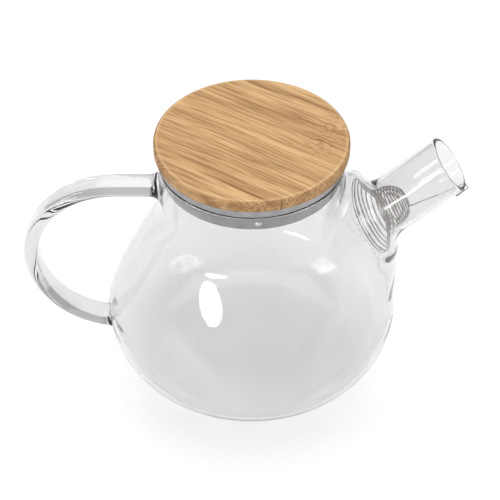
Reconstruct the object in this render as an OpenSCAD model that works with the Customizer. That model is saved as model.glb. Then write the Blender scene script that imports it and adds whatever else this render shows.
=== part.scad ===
// Blown glass teapot with a bamboo lid, a strap handle and a wire strainer in its spout.
// All sizes are millimetres. The origin is the middle of the flat base, +Z is up and
// the spout points along +X, so the handle is on the -X side.

/* [Body] */
// Outer radius at the belly, the widest ring
belly_r = 69.8; // [65:0.1:84]
// Height of the belly above the base, which is also the radius of the bowl's curve
belly_z = 32.6; // [27:0.1:39.2]
// Radius of the curve that turns the belly into the shoulder
shoulder_r = 12; // [8:0.5:16]
// Outer radius of the neck
neck_r = 42.4; // [35.3:0.1:51]
// Height at which the line of the shoulder would meet the neck
neck_z = 92.9; // [80:0.1:102]
// Radius of the hollow curve between the shoulder and the neck
neck_curve_r = 25; // [15:1:40]
// Height of the lip
rim_z = 122.2; // [116:0.1:147]
// Thickness of the blown glass
wall = 1.8; // [1.4:0.1:2.4]
// Thickness of the floor
floor_t = 2.5; // [2:0.1:4]

/* [Spout] */
// Outer radius of the pouring tube
tube_r = 13.3; // [12:0.1:16]
// Where the axis of the tube passes, as distance out of the neck and height above its corner
tube_out = 22.2; // [20:0.1:25]
tube_up = 0.4; // [-1:0.1:2]
// How steeply the tube rises
tube_rise = 44; // [40:1:48]
// Length of the tube from that point to the middle of its mouth
tube_len = 35; // [28:0.1:44]
// How steeply the mouth faces upwards
mouth_rise = 37; // [25:1:44]
// Tip of the cone that spreads from the tube to the body, measured in the same way
cone_out = 24.3; // [22:0.1:26.5]
cone_up = 0.6; // [-1:0.1:2]
// How steeply the axis of that cone rises
cone_rise = 32; // [28:1:36]
// Half angle of the cone, and its length along the axis
cone_half = 62.8; // [55:0.1:65]
cone_len = 11.9; // [10:0.1:13]
// Half angle and length of the skirt that carries the cone back into the body
skirt_half = 18; // [12:1:22]
skirt_len = 25; // [20:1:28]
// Radius of the swelling under the spout, how far its centre is inside the belly, its height
apron_r = 31.5; // [26:0.5:33]
apron_in = 31.8; // [30:0.1:35]
apron_z = 54; // [48:0.5:58]

/* [Handle] */
// Width of the strap across the pot
strap_w = 12.5; // [10:0.5:18]
// Thickness of the strap
strap_t = 6.3; // [5:0.1:8]
// How far below the lip the middle of the straight top arm is
arm_drop = 17.5; // [14:0.1:20]
// Height of the middle of the strap where the bend runs back into the bowl
bend_low_z = 19.3; // [17:0.1:24]
// How far inside the belly the centre of the bend is
bend_in = 7.6; // [4:0.1:12]

/* [Lid] */
// How far the bamboo disc stands out past the neck, and its thickness
disc_overhang = 1.6; // [1.2:0.1:4]
disc_t = 5.8; // [4.8:0.1:8]
// Radii of its top and bottom edges
disc_top_edge = 1.6; // [0.5:0.1:2.2]
disc_low_edge = 0.7; // [0.4:0.1:1]
// How far the steel band stays inside the bamboo's edge, and its height
band_inset = 1; // [0.5:0.1:2]
band_h = 3.8; // [3.2:0.1:6]
// Thickness of the steel sheet
sheet = 0.6; // [0.4:0.05:0.8]
// Gap between the steel skirt and the glass neck
skirt_gap = 0.7; // [0.6:0.05:1]
// Depth of the skirt below the band
skirt_h = 8.8; // [8:0.1:12]
// Width of the ledge that the screws pass through
ledge_w = 9; // [8:0.5:12]
// Thickness of the silicone seal and how far it stays inside the lip's outer edge
seal_t = 0.9; // [0.6:0.05:1.5]
seal_inset = 0.4; // [0:0.1:0.8]

/* [Detents] */
// Number of sprung balls that hold the lid in the neck
balls = 3; // [3:1:3]
// Direction of the first ball about the lid's axis
first_ball = -86; // [-90:1:-80]
// Radius of a ball, and how far it stands out of the skirt
ball_r = 2; // [1.8:0.05:2.2]
ball_proud = 0.6; // [0.4:0.05:0.6]
// Depth and wall of a ball's housing
housing_len = 8; // [7:0.5:12]
housing_wall = 0.5; // [0.4:0.05:0.8]
// Mean radius, wire radius and turns of the spring behind a ball
coil_r = 1.45; // [1.3:0.05:1.5]
coil_wire = 0.15; // [0.12:0.01:0.2]
coil_turns = 5; // [4:1:7]

/* [Screws] */
// Number of screws that hold the bamboo to the steel
screws = 3; // [3:1:6]
// Radii of a screw's shank and head, and its head's height
shank_r = 1.25; // [1:0.05:1.5]
head_r = 2.7; // [2.2:0.1:3]
head_h = 1.5; // [1.2:0.1:1.8]
// How far a screw goes into the bamboo
screw_bite = 3.8; // [3:0.1:4.2]

/* [Strainer] */
// Radius of the strainer's wire
wire_r = 0.34; // [0.3:0.01:0.36]
// Number of wide turns that rest behind the cone
wide_turns = 4; // [3:1:4]
// Distance from one wide turn to the next
wide_pitch = 1.1; // [1:0.05:1.1]
// Room between the widest turn and the glass
wide_gap = 2.1; // [2:0.1:3]
// Number of open turns where the tube begins, and the distance between them
tube_turns = 2; // [1:1:3]
tube_pitch = 2.3; // [1.5:0.1:2.5]
// Number of close turns in the dome
dome_turns = 7; // [5:1:9]
// Length of the dome
dome_len = 9; // [8:0.1:10]
// Radius of the dome's last turn
dome_tip_r = 4; // [3.5:0.1:5]
// Room between the dome's first turn and the tube
dome_gap = 1.3; // [1.2:0.1:2]
// Direction of the hook about the tube's axis, from its lowest side towards the front
hook_turn = 25; // [15:1:60]
// Length of the hook's leg outside the lip
hook_leg = 6; // [4:0.5:8]
// Room between the wire and the glass at the lip
hook_gap = 0.35; // [0.3:0.05:0.6]

/* [Hidden] */
$fn = 96;

far = 400;                 // longer than any cut needs to be
rest_gap = 0.05;           // between the seal and what it lies between at rest
run_fit = 0.05;            // radial clearance of a ball or screw in its hole
seal_fit = 0.1;            // between the seal and the skirt that turns in it

// Body: the bowl's curve, the shoulder's curve and the line from there to the neck.
bowl_x = belly_r - belly_z;
shoulder_x = belly_r - shoulder_r;
corner_run = [neck_r - shoulder_x, neck_z - belly_z];
lean = atan2(corner_run[1], corner_run[0]) - acos(shoulder_r / norm(corner_run));
neck_low = neck_z + neck_curve_r * tan(lean / 2);

// Spout: places and directions of the tube and the cone in the XZ plane.
tube_x = neck_r + tube_out;
tube_z = neck_z + tube_up;
cone_x = neck_r + cone_out;
cone_z = neck_z + cone_up;
apron_x = belly_r - apron_in;
tube_dir = [cos(tube_rise), 0, sin(tube_rise)];
cone_dir = [cos(cone_rise), 0, sin(cone_rise)];
mouth_at = [tube_x, 0, tube_z] + tube_len * tube_dir;

// Handle: one bend between the two heights of the strap.
arm_z = rim_z - arm_drop;
bend_r = (arm_z - bend_low_z) / 2;
bend_x = belly_r - bend_in;

// Lid: everything is stacked from the lip upwards.
disc_r = neck_r + disc_overhang;
neck_in = neck_r - wall;
seal_z = rim_z + rest_gap;
band_z = seal_z + seal_t + rest_gap;
disc_z = band_z + band_h;
band_r = disc_r - band_inset;
skirt_r = neck_in - skirt_gap;
skirt_in = skirt_r - sheet;
skirt_z = band_z - skirt_h;

// Detents: a ball stands out of the skirt by ball_proud when the lid is seated.
ball_x = skirt_r + ball_proud - ball_r;
housing_r = ball_r + run_fit + housing_wall;
ball_z = skirt_z + sheet + housing_r + run_fit;
ball_hole_r = sqrt(pow(ball_r, 2) - pow(skirt_in - ball_x, 2)) + run_fit;
housing_x = skirt_in - housing_len;
spring_end = ball_x - sqrt(pow(ball_r, 2) - pow(coil_r, 2)) - coil_wire - run_fit;
screw_x = skirt_in - ledge_w / 2;

function ball_angle(i) = first_ball + i * 360 / balls;

// ---- sweeps of round wire along a list of points ----

function unit(v) = v / norm(v);
function ends_in(p) = len(p) - 1;
function heading(p, i) = unit(p[min(i + 1, ends_in(p))] - p[max(i - 1, 0)]);

// A wire of radius r and six sides along the points p. The side direction of each ring
// comes from the fixed vector keep, which never runs along the wire.
module wire(p, r, keep) {
    sides = 6;
    rings = [for (i = [0:ends_in(p)])
        let (t = heading(p, i), a = unit(cross(t, keep)), b = cross(t, a))
        for (k = [0:sides - 1])
            p[i] + r * (cos(60 * k) * a + sin(60 * k) * b)];
    tube = [for (i = [0:ends_in(p) - 1]) for (k = [0:sides - 1]) for (half = [0, 1])
        let (m = (k + 1) % sides, n = i * sides)
        half == 0 ? [n + k, n + m, n + sides + m] : [n + k, n + sides + m, n + sides + k]];
    start = [[for (k = [0:sides - 1]) sides - 1 - k]];
    finish = [[for (k = [0:sides - 1]) ends_in(p) * sides + k]];
    polyhedron(rings, concat(start, tube, finish), convexity = 8);
}

// ---- glass ----

// Points along an arc about the point c, at equal angles.
function arc(c, r, from, to, steps) =
    [for (k = [0:steps]) let (a = from + (to - from) * k / steps) c + r * [cos(a), sin(a)]];

// Half outline of the body from its floor up to the height top, drawn in by the distance t.
function outline(t, floor_z, top) = concat(
    [[0, floor_z]],
    arc([bowl_x, belly_z], belly_z - t, -asin((belly_z - floor_z) / (belly_z - t)), 0, 12),
    arc([shoulder_x, belly_z], shoulder_r - t, lean / 4, lean, 3),
    arc([neck_r + neck_curve_r, neck_low], neck_curve_r + t, 180 + lean, 180, 5),
    [[neck_r - t, top]]
);

function reversed(p) = [for (i = [ends_in(p):-1:0]) p[i]];

module body_solid() {
    rotate(90) rotate_extrude() polygon(concat(outline(0, 0, rim_z), [[0, rim_z]]));
}

// The blown shell, with a melted round lip.
module shell() {
    lip = wall / 2;
    rotate(90) rotate_extrude()
        polygon(concat(
            outline(0, 0, rim_z - lip),
            arc([neck_r - lip, rim_z - lip], lip, 30, 150, 4),
            reversed(outline(wall, floor_t, rim_z - lip))
        ));
}

// Stands its children on a point of the XZ plane with +Z along a direction that rises.
module aim(x, z, rise) {
    translate([x, 0, z]) rotate([0, 90 - rise, 0]) children();
}

// The spout as a solid, drawn in by the distance t, before its mouth is cut.
module spout_solid(t, over) {
    aim(tube_x, tube_z, tube_rise)
        translate([0, 0, -belly_z])
            cylinder(r = tube_r - t, h = belly_z + tube_len + over);
    ring_r = cone_len * tan(cone_half);
    back = t / sin(cone_half);
    shift = t / cos(skirt_half);
    aim(cone_x, cone_z, cone_rise)
        rotate_extrude()
            polygon([
                [0, -back],
                [ring_r - shift, -back - (ring_r - shift) / tan(cone_half)],
                [ring_r - shift + skirt_len * tan(skirt_half), -cone_len - skirt_len - back],
                [0, -cone_len - skirt_len - back]
            ]);
    translate([apron_x, 0, apron_z]) sphere(apron_r - t);
}

module vessel() {
    color([0.88, 0.90, 0.90, 0.35])
    difference() {
        shell();
        spout_solid(wall, 0);
    }
}

module spout() {
    over = 2 * tube_r;
    color([0.90, 0.92, 0.92, 0.35])
    difference() {
        spout_solid(0, over);
        spout_solid(wall, over + 1);
        body_solid();
        translate(mouth_at)
            rotate([0, 90 - mouth_rise, 0])
                translate([-far / 2, -far / 2, 0]) cube(far);
    }
}

// Section of the strap, with its thickness along the first axis.
module strap_section() {
    side = (strap_w - strap_t) / 2;
    square([strap_t, 2 * side], center = true);
    for (s = [-side, side]) translate([0, s]) circle(d = strap_t, $fn = 48);
}

// A straight arm out of the neck, then one bend round to the bowl.
module handle() {
    color([0.90, 0.92, 0.92, 0.35])
    difference() {
        union() {
            translate([-bend_x, 0, arm_z])
                rotate([0, 90, 0])
                    linear_extrude(bend_x) strap_section();
            translate([-bend_x, 0, arm_z - bend_r])
                rotate([90, 0, 0])
                    rotate_extrude(angle = 182, start = 90)
                        translate([bend_r, 0]) strap_section();
        }
        body_solid();
    }
}

// ---- lid ----

module bamboo_disc() {
    color([0.79, 0.63, 0.45])
    difference() {
        translate([0, 0, disc_z])
            rotate_extrude() {
                square([disc_r - disc_top_edge, disc_t]);
                translate([0, disc_low_edge])
                    square([disc_r, disc_t - disc_top_edge - disc_low_edge]);
                square([disc_r - disc_low_edge, disc_t / 2]);
                translate([disc_r - disc_top_edge, disc_t - disc_top_edge])
                    circle(disc_top_edge, $fn = 48);
                translate([disc_r - disc_low_edge, disc_low_edge])
                    circle(disc_low_edge, $fn = 48);
            }
        screw_places()
            translate([0, 0, disc_z - 1]) cylinder(r = shank_r + run_fit, h = screw_bite + 1.2);
    }
}

// Steel sleeve: a band under the bamboo, a skirt in the neck and a ledge for the screws.
module lid_sleeve() {
    color([0.66, 0.65, 0.64])
    difference() {
        rotate_extrude() {
            translate([skirt_in, skirt_z]) square([sheet, disc_z - skirt_z]);
            translate([skirt_in, band_z]) square([band_r - skirt_in, sheet]);
            translate([band_r - sheet, band_z]) square([sheet, band_h]);
            translate([skirt_in - ledge_w, disc_z - sheet]) square([ledge_w + sheet, sheet]);
        }
        screw_places()
            translate([0, 0, band_z]) cylinder(r = shank_r + run_fit, h = band_h + 1);
        ball_places()
            rotate([0, 90, 0]) cylinder(r = ball_hole_r, h = far, $fn = 48);
    }
}

module lid_base_plate() {
    color([0.60, 0.60, 0.60])
    translate([0, 0, skirt_z]) cylinder(r = skirt_in, h = sheet);
}

module lid_seal() {
    inner = skirt_r + seal_fit;
    color([0.30, 0.30, 0.30])
    translate([0, 0, seal_z])
        rotate_extrude()
            translate([inner, 0]) square([neck_r - seal_inset - inner, seal_t]);
}

module screw_places() {
    for (i = [0:screws - 1])
        rotate(ball_angle(0) + (i + 0.5) * 360 / screws) translate([screw_x, 0, 0]) children();
}

module lid_screws() {
    color([0.75, 0.75, 0.76])
    screw_places() {
        translate([0, 0, disc_z - sheet - head_h]) cylinder(r = head_r, h = head_h, $fn = 48);
        translate([0, 0, disc_z - sheet - head_h / 2])
            cylinder(r = shank_r, h = head_h / 2 + sheet + screw_bite, $fn = 32);
    }
}

// ---- sprung balls ----

module ball_at(i) {
    rotate(ball_angle(i)) translate([0, 0, ball_z]) children();
}

module ball_places() {
    for (i = [0:balls - 1]) ball_at(i) children();
}

// Tubes closed at their inner ends, which stand on the inside of the skirt.
module detent_housings() {
    color([0.72, 0.72, 0.73])
    intersection() {
        ball_places()
            difference() {
                translate([housing_x, 0, 0]) rotate([0, 90, 0]) cylinder(r = housing_r, h = far);
                translate([housing_x + housing_wall, 0, 0])
                    rotate([0, 90, 0]) cylinder(r = ball_r + run_fit, h = far);
            }
        cylinder(r = skirt_in, h = far);
    }
}

module detent_ball(i) {
    color([0.82, 0.82, 0.84])
    ball_at(i) translate([ball_x, 0, 0]) sphere(ball_r, $fn = 48);
}

module detent_spring(i) {
    start = housing_x + housing_wall + coil_wire + run_fit;
    steps = 12;
    turns = [for (k = [0:coil_turns * steps])
        let (a = 360 * k / steps)
        [start + (spring_end - start) * k / (coil_turns * steps), coil_r * cos(a), coil_r * sin(a)]];
    color([0.70, 0.70, 0.72])
    ball_at(i) wire(turns, coil_wire, [1, 0, 0]);
}

// ---- strainer ----

// A point at the distance along the tube's axis, at a radius and angle about it.
// The angle is counted from the lowest side of the tube towards the front.
function about_tube(along, r, angle) =
    [tube_x, 0, tube_z] + along * tube_dir
    + r * (cos(angle) * [sin(tube_rise), 0, -cos(tube_rise)] + sin(angle) * [0, -1, 0]);

// The same about the cone's axis, counted from the cone's tip.
function about_cone(along, r, angle) =
    [cone_x, 0, cone_z] + along * cone_dir
    + r * (cos(angle) * [sin(cone_rise), 0, -cos(cone_rise)] + sin(angle) * [0, -1, 0]);

turn_steps = 16;
bore_r = tube_r - wall - wire_r;
foot_reach = 0.6;
wide_r = (cone_len + foot_reach) * tan(cone_half) - wall / cos(cone_half) - wide_gap;
wide_below = 2.5;
wide_shrink = 4.9;
step_len = 1.4;
step_gap = 0.56;
stem_rise = [0.5, 1.4];
stem_turn = [12, 20];
stem_below = 2.5;
lip_play = 0.3;
bend_len = 0.6;
bend_out = 0.5;
wire_side = [0.62, 0.07, 0.78];
stem_r = bore_r - hook_gap;
leg_r = tube_r + wire_r + hook_gap;

function mix(a, b, f) = a + (b - a) * f;

// The coil as distance along the cone's axis and radius: where each part of it starts.
wide_start = [-cone_len - wide_below, wide_r];
wide_end = [wide_start[0] + wide_pitch * wide_turns, wide_r - wide_shrink];
tube_start = [wide_end[0] + step_len, bore_r - step_gap];
dome_start = [tube_start[0] + tube_pitch * tube_turns, bore_r - dome_gap];
dome_end = [dome_start[0] + dome_len, dome_tip_r];
dome_from = wide_turns + 1 + tube_turns;

// The same after t turns. From the wide turns to the tube the wire steps in over one turn.
function coil(t) =
    t <= wide_turns
    ? [mix(wide_start[0], wide_end[0], t / wide_turns),
        mix(wide_start[1], wide_end[1], pow(t / wide_turns, 2))]
    : t <= wide_turns + 1
    ? let (f = t - wide_turns) mix(wide_end, tube_start, f * f * (3 - 2 * f))
    : t <= dome_from
    ? mix(tube_start, dome_start, (t - wide_turns - 1) / tube_turns)
    : let (f = (t - dome_from) / dome_turns)
      [mix(dome_start[0], dome_end[0], f), mix(dome_end[1], dome_start[1], sqrt(1 - f * f))];

// Distance along the axis at which the mouth cuts the tube, at a radius and angle.
function mouth_along(r, angle) = tube_len - r * cos(angle) * tan(tube_rise - mouth_rise);
over_lip = wire_r + hook_gap + lip_play;

coil_path = [for (k = [0:turn_steps * (dome_from + dome_turns)])
    let (t = k / turn_steps, c = coil(t)) about_cone(c[0], c[1], 360 * t)];

// The stem leans out to the wall of the tube and ends in a hook over the lip.
stem_path = [
    about_cone(dome_end[0] + stem_rise[0], dome_tip_r, stem_turn[0]),
    about_cone(dome_end[0] + stem_rise[1], dome_tip_r, stem_turn[1])
];
lip_along = mouth_along(tube_r - wall / 2, hook_turn);
hook_path = [
    about_tube(lip_along - stem_below, stem_r, hook_turn),
    about_tube(lip_along + over_lip - bend_len, stem_r, hook_turn),
    about_tube(lip_along + over_lip, stem_r + bend_out, hook_turn),
    about_tube(lip_along + over_lip, leg_r - bend_out, hook_turn),
    about_tube(lip_along + over_lip - bend_len, leg_r, hook_turn),
    about_tube(lip_along - hook_leg, leg_r, hook_turn)
];

module spout_strainer() {
    color([0.55, 0.54, 0.53])
    wire(concat(coil_path, stem_path, hook_path), wire_r, wire_side);
}

vessel();
spout();
handle();
bamboo_disc();
lid_sleeve();
lid_base_plate();
lid_seal();
lid_screws();
detent_housings();
detent_ball(0);  // detent_ball_front
detent_ball(1);  // detent_ball_right
detent_ball(2);  // detent_ball_left
detent_spring(0);  // detent_spring_front
detent_spring(1);  // detent_spring_right
detent_spring(2);  // detent_spring_left
spout_strainer();
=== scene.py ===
"""Looks of a blown glass teapot with a bamboo lid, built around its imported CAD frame.

The glass body, spout and handle are one melted piece. The lid, its sprung balls and the
wire strainer are separate pieces. All sizes are metres in the frame of the CAD part.
"""

import logging
import math
from dataclasses import dataclass
from enum import Enum
from typing import Callable, Sequence

import bmesh
import bpy
import numpy as np
from mathutils import Matrix, Vector


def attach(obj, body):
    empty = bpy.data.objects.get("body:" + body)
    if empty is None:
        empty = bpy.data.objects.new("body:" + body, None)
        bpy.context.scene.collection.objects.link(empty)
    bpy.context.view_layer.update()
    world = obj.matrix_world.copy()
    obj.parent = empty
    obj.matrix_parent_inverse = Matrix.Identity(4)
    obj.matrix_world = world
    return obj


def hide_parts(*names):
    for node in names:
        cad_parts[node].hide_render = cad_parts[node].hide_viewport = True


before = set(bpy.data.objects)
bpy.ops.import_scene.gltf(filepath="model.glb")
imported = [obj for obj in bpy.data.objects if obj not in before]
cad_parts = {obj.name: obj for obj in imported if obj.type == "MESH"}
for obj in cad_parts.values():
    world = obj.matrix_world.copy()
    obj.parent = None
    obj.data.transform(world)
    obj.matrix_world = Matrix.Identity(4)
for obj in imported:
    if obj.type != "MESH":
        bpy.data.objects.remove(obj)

LOG = logging.getLogger("teapot")
Field = Callable[[np.ndarray], np.ndarray]
Colour = tuple[float, float, float]


class Slot(Enum):
    """Material slots of the part."""

    GLASS = "glass"
    BAMBOO = "bamboo"
    SLEEVE = "steel_sleeve"
    SILICONE = "silicone"
    SCREW = "screw_steel"
    BALL = "ball_steel"
    WIRE = "spring_wire"


class Body(Enum):
    """Bodies that the pieces ride on."""

    POT = "pot"
    SEAL = "seal"
    LID = "lid"
    STRAINER = "strainer"


# ---------------------------------------------------------------- node graphs


@dataclass(frozen=True)
class Signal:
    """A socket that carries a number or a vector, with arithmetic that adds Math nodes.

    Args:
        graph: The graph that the socket belongs to.
        socket: The output socket.
    """

    graph: "Graph"
    socket: bpy.types.NodeSocket

    def __add__(self, other: "Signal | float") -> "Signal":
        return self.graph.math("ADD", self, other)

    def __sub__(self, other: "Signal | float") -> "Signal":
        return self.graph.math("SUBTRACT", self, other)

    def __rsub__(self, other: "Signal | float") -> "Signal":
        return self.graph.math("SUBTRACT", other, self)

    def __mul__(self, other: "Signal | float") -> "Signal":
        return self.graph.math("MULTIPLY", self, other)

    def __truediv__(self, other: "Signal | float") -> "Signal":
        return self.graph.math("DIVIDE", self, other)

    __radd__ = __add__
    __rmul__ = __mul__

    def apply(self, operation: str, *others: "Signal | float") -> "Signal":
        """Returns the result of any other Math operation on this socket."""
        return self.graph.math(operation, self, *others)

    def between(self, low: float, high: float) -> "Signal":
        """Returns 0 at low and 1 at high, with a smooth step between them."""
        made = self.graph.node(
            "ShaderNodeMapRange",
            {"interpolation_type": "SMOOTHSTEP"},
            {"Value": self, "From Min": low, "From Max": high},
        )
        return self.graph.out(made, "Result")


class Graph:
    """The node graph of one material.

    Args:
        name: Name of the material.
    """

    def __init__(self, name: str) -> None:
        self.material = bpy.data.materials.new(name)
        self.material.use_nodes = True
        self.tree = self.material.node_tree
        self.tree.nodes.clear()

    def node(self, kind: str, settings: dict | None = None, inputs: dict | None = None):
        """Adds a node.

        Args:
            kind: The node's type.
            settings: Attributes to set on it.
            inputs: Values or signals for its inputs, by name or number.

        Returns:
            The node.
        """
        made = self.tree.nodes.new(kind)
        for key, value in (settings or {}).items():
            setattr(made, key, value)
        for key, value in (inputs or {}).items():
            if isinstance(value, Signal):
                self.tree.links.new(value.socket, made.inputs[key])
            else:
                made.inputs[key].default_value = value
        return made

    def out(self, node: bpy.types.Node, name: str | int = 0) -> Signal:
        """Returns an output of a node as a signal."""
        return Signal(self, node.outputs[name])

    def math(self, operation: str, *values: "Signal | float") -> Signal:
        """Returns the result of a Math node."""
        made = self.node("ShaderNodeMath", {"operation": operation}, dict(enumerate(values)))
        return self.out(made)

    def place(self) -> tuple[Signal, Signal, Signal]:
        """Returns the object coordinates X, Y and Z."""
        where = self.out(self.node("ShaderNodeTexCoord"), "Object")
        split = self.node("ShaderNodeSeparateXYZ", None, {0: where})
        return self.out(split, "X"), self.out(split, "Y"), self.out(split, "Z")

    def vector(self, x: "Signal | float", y: "Signal | float", z: "Signal | float") -> Signal:
        """Returns the vector of three numbers."""
        return self.out(self.node("ShaderNodeCombineXYZ", None, {0: x, 1: y, 2: z}))

    def noise(self, where: Signal, scale: float, detail: float = 2.0) -> Signal:
        """Returns noise from 0 to 1 at a place."""
        inputs = {"Vector": where, "Scale": scale, "Detail": detail}
        return self.out(self.node("ShaderNodeTexNoise", None, inputs), "Fac")

    def cells(self, where: Signal, scale: float) -> Signal:
        """Returns the distance to the nearest of scattered points."""
        made = self.node("ShaderNodeTexVoronoi", None, {"Vector": where, "Scale": scale})
        return self.out(made, "Distance")

    def mix(
        self, share: "Signal | float", first: "Signal | Colour", second: "Signal | Colour"
    ) -> Signal:
        """Returns a blend of two colours."""
        sides = [v if isinstance(v, Signal) else (*v, 1.0) for v in (first, second)]
        inputs = {0: share, 6: sides[0], 7: sides[1]}
        return self.out(self.node("ShaderNodeMix", {"data_type": "RGBA"}, inputs), 2)

    def bump(self, height: Signal, strength: float, distance: float) -> Signal:
        """Returns the normal of a surface raised by a height from 0 to 1."""
        inputs = {"Height": height, "Strength": strength, "Distance": distance}
        return self.out(self.node("ShaderNodeBump", None, inputs), "Normal")

    def surface(self, inputs: dict) -> Signal:
        """Returns a Principled shader."""
        return self.out(self.node("ShaderNodeBsdfPrincipled", None, inputs))

    def finish(self, shader: Signal) -> bpy.types.Material:
        """Joins a shader to the output and returns the material."""
        self.node("ShaderNodeOutputMaterial", None, {"Surface": shader})
        return self.material


# ------------------------------------------------------------------- finishes


@dataclass(frozen=True)
class GlassFinish:
    """Clear blown glass with a faint ripple.

    Args:
        tint: Colour of the glass.
        tint_deep: Colour where it is a little greyer.
        solid_and_shade_tint: Colour of the solid strap, partly its own deeper tint and partly
            painted shade over the far left of the glass, the left edge of the belly too.
        shadow: Colour of the light that gets through to a shadow.
        ior: Index of refraction.
        ripple: Height of the ripple.
    """

    tint: Colour = (0.872, 0.868, 0.870)
    tint_deep: Colour = (0.848, 0.843, 0.846)
    solid_and_shade_tint: Colour = (0.775, 0.772, 0.774)
    shadow: Colour = (0.93, 0.93, 0.93)
    ior: float = 1.47
    ripple: float = 0.00012

    def build(self) -> bpy.types.Material:
        """Returns the material."""
        g = Graph("clear_glass")
        x, y, z = g.place()
        where = g.vector(x, y, z * 0.6)
        cloud = g.noise(where, 22, 3)
        wave = g.noise(where, 34, 1)
        tint = g.mix(cloud.between(0.35, 0.7), self.tint, self.tint_deep)
        # The solid strap takes more light than the thin wall; the mix is keyed to x, so it also
        # paints shade on the far left of the glass, the belly's left edge included.
        solid = 1 - x.between(-0.074, -0.066)
        glass = g.surface(
            {
                "Base Color": g.mix(solid, tint, self.solid_and_shade_tint),
                "Roughness": 0.0,
                "IOR": self.ior,
                "Transmission Weight": 1.0,
                "Normal": g.bump(wave, 0.25, self.ripple),
            }
        )
        # Shadows pass straight through the glass, a little dimmed.
        clear = g.out(g.node("ShaderNodeBsdfTransparent", None, {"Color": (*self.shadow, 1.0)}))
        in_shadow = g.out(g.node("ShaderNodeLightPath"), "Is Shadow Ray")
        both = g.out(g.node("ShaderNodeMixShader", None, {0: in_shadow, 1: glass, 2: clear}))
        return g.finish(both)


@dataclass(frozen=True)
class BambooFinish:
    """Pressed bamboo strips under a thin satin lacquer.

    Args:
        light: Colour of the pale grain.
        warm: Colour of the body of the strips.
        dark: Colour of the long dark streaks.
        pore: Colour of the pores at the ends of the fibres.
        rubbed: Colour of the edge where the lacquer has worn thin.
        grain_angle: Direction of the grain in the plane of the lid, in radians.
        strip: Width of a strip.
        radius: Radius of the disc.
        node_along: Distance along the grain at which the bamboo has a node.
    """

    light: Colour = (0.645, 0.405, 0.190)
    warm: Colour = (0.525, 0.305, 0.130)
    dark: Colour = (0.235, 0.112, 0.038)
    pore: Colour = (0.16, 0.070, 0.025)
    rubbed: Colour = (0.72, 0.50, 0.28)
    grain_angle: float = math.radians(-34)
    strip: float = 0.0215
    radius: float = 0.044
    node_along: float = 0.028

    def build(self) -> bpy.types.Material:
        """Returns the material."""
        g = Graph("bamboo")
        x, y, z = g.place()
        c, s = math.cos(self.grain_angle), math.sin(self.grain_angle)
        along = x * c + y * s
        across = y * c - x * s
        # The fibres wander a little along their length, and curl beside the node.
        sway = g.noise(g.vector(along * 20, across * 14, z * 10), 1, 2) - 0.5
        node_at = (along - self.node_along).apply("ABSOLUTE")
        near_node = (1 - node_at.between(0.001, 0.012)) * across.between(0.002, 0.009)
        curl = g.noise(g.vector(along * 230, across * 260, z * 80), 1, 2) - 0.5
        v = across + sway * 0.0030 + curl * near_node * 0.0052
        strips = v / self.strip + 0.32
        strip_at = strips.apply("FLOOR")
        tone = g.out(g.node("ShaderNodeTexWhiteNoise", {"noise_dimensions": "1D"}, {"W": strip_at}))
        edge = (strips.apply("FRACT") - 0.5).apply("ABSOLUTE")
        joint = edge.between(0.486, 0.498)
        shift = strip_at * 3.7
        fine = g.noise(g.vector(along * 70, v * 1900, z * 900 + shift), 1, 3)
        fibre = g.noise(g.vector(along * 38, v * 950, z * 500 + shift), 1, 4)
        broad = g.noise(g.vector(along * 10, v * 170, z * 120 + shift), 1, 2)
        streak = g.noise(g.vector(along * 11 + 1.3, v * 300 + 4.0, z * 60 + shift), 1, 1)
        knot = g.noise(g.vector(along * 420, v * 500, z * 150), 1, 2)
        # Pores show on the rim where the fibres are cut across.
        out = (x * x + y * y).apply("SQRT")
        rim = out.between(self.radius - 0.0013, self.radius - 0.0005)
        cut = (along / out).apply("ABSOLUTE").between(0.25, 0.6)
        pores = 1 - g.cells(g.vector(along * 0.3, across, z), 1350).between(0.18, 0.5)
        worn = out.between(self.radius - 0.0024, self.radius - 0.0015) * (1 - rim)
        # Each layer lies over those before it: where it shows, how strongly, and its colour.
        layers = (
            (fibre.between(0.46, 0.62), 0.58, self.dark),
            (fine.between(0.48, 0.62), 0.42, self.dark),
            (1 - fibre.between(0.34, 0.46), 0.30, self.light),
            (streak.between(0.60, 0.70), 0.72, self.dark),
            (tone, 0.14, self.light),
            (joint, 0.45, self.dark),
            (near_node * knot.between(0.48, 0.66), 0.5, self.dark),
            (rim, 0.30, self.dark),
            (rim * cut * pores, 0.85, self.pore),
            (worn, 0.35, self.rubbed),
        )
        base = g.mix(broad.between(0.32, 0.68), self.light, self.warm)
        for mask, strength, colour in layers:
            base = g.mix(mask * strength, base, colour)
        height = fine * 0.5 + fibre * 0.5 - pores * rim * 0.6 - joint * 0.5
        shader = g.surface(
            {
                "Base Color": base,
                "Roughness": 0.48 + fibre * 0.16,
                "Specular IOR Level": 0.3,
                "Coat Weight": 0.08,
                "Coat Roughness": 0.35,
                "Normal": g.bump(height, 0.45, 0.00015),
            }
        )
        return g.finish(shader)


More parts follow.
